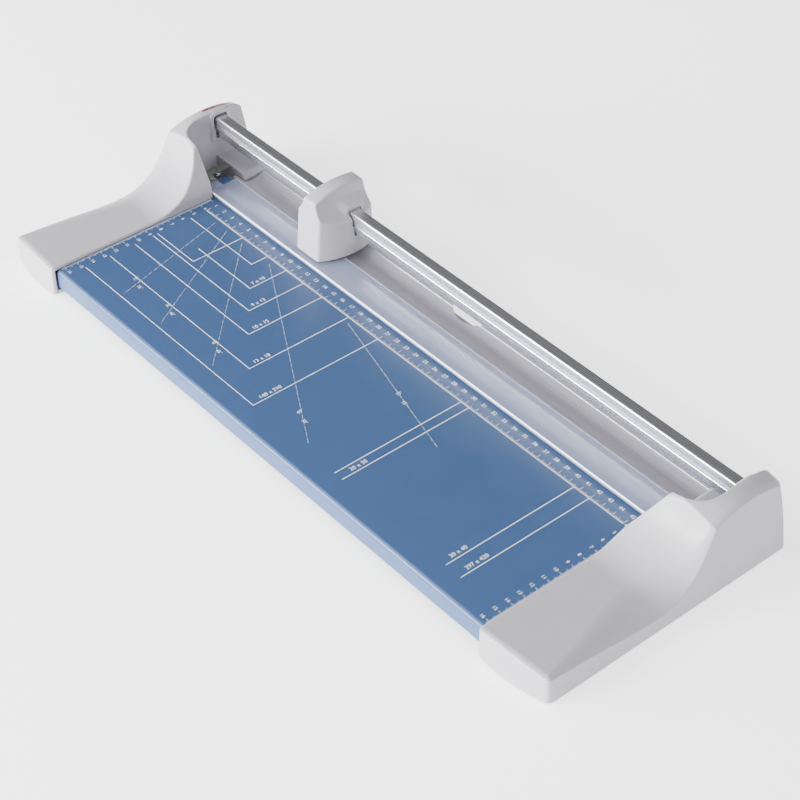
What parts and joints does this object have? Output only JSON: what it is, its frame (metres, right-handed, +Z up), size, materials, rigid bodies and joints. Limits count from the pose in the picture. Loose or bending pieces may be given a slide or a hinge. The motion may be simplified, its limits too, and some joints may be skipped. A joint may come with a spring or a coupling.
{
  "type": "rotary paper trimmer",
  "caption": "Rotary paper trimmer: blue printed table between two moulded end caps, guide rail with a sliding cutting head, round blade and clear clamp strip.",
  "frame": {"origin": "middle of the footprint, on the surface the trimmer stands on", "axes": "+X along the cut to the right, front towards -Y, +Z up"},
  "size_m": [0.574, 0.2108, 0.078],
  "materials": {
    "table_blue": "satin powder coat on sheet steel, white printed scales",
    "channel_grey": "satin anodised extrusion, fine lines along its length",
    "lower_blade": "ground flat",
    "fastener_zinc": "bright zinc plate",
    "case_grey": "fine spark-eroded texture",
    "rubber_foot": "soft, slightly dusty",
    "rail_aluminium": "bright anodised extrusion, satin grooves",
    "saddle_grey": "plain moulded",
    "red_inlay": "smooth",
    "clear_strip": "clear acrylic with polished edges",
    "hanger_zinc": "zinc plate, slightly greenish",
    "spring_steel": "bright wire",
    "glide_white": "slippery, natural white",
    "carrier_dark": "plain moulded, dark",
    "wheel_steel": "ground rim, brushed faces",
    "print_white": "screen-printed scales, frames and numbers on the table"
  },
  "bodies": {
    "frame": {"board": "table_blue", "rear_channel": "channel_grey", "counter_blade": "lower_blade", "counter_blade_screws": "fastener_zinc", "left_cap": "case_grey", "right_cap": "case_grey", "left_cap_floor": "case_grey", "right_cap_floor": "case_grey", "case_screws": "fastener_zinc", "feet": "rubber_foot", "guide_rail": "rail_aluminium", "left_rail_saddle": "saddle_grey", "right_rail_saddle": "saddle_grey", "rail_screws": "fastener_zinc", "red_inlay": "red_inlay", "left_strip_spring": "spring_steel", "right_strip_spring": "spring_steel"},
    "clamp": {"clamp_strip": "clear_strip", "left_strip_hanger": "hanger_zinc", "right_strip_hanger": "hanger_zinc", "strip_rivets": "fastener_zinc"},
    "head": {"head_shell": "case_grey", "blade_carrier": "carrier_dark", "left_glide": "glide_white", "right_glide": "glide_white", "presser_shoe": "glide_white", "wheel_axle": "fastener_zinc", "axle_nut": "fastener_zinc", "blade_spring": "spring_steel", "shell_screws": "fastener_zinc"},
    "wheel": {"cutting_wheel": "wheel_steel", "wheel_hub": "carrier_dark"}
  },
  "joints": [
    {"name": "head_slide", "type": "slide", "parent": "frame", "child": "head", "axis": [1, 0, 0], "range_m": [-0.117, 0.361]},
    {"name": "wheel_spin", "type": "hinge", "parent": "head", "child": "wheel", "pos_m": [-0.122, 0.0665, 0.0335], "axis": [0, 1, 0], "continuous": true},
    {"name": "clamp_press", "type": "slide", "parent": "frame", "child": "clamp", "axis": [0, 0, 1], "range_m": [-0.0005, 0], "stiffness_N_per_m": 400, "springref_m": 0.004, "deforming": ["left_strip_spring", "right_strip_spring"]}
  ],
  "couplings": [
    {"joint": "wheel_spin", "follows": "head_slide", "rad_per_m": 86.957}
  ]
}
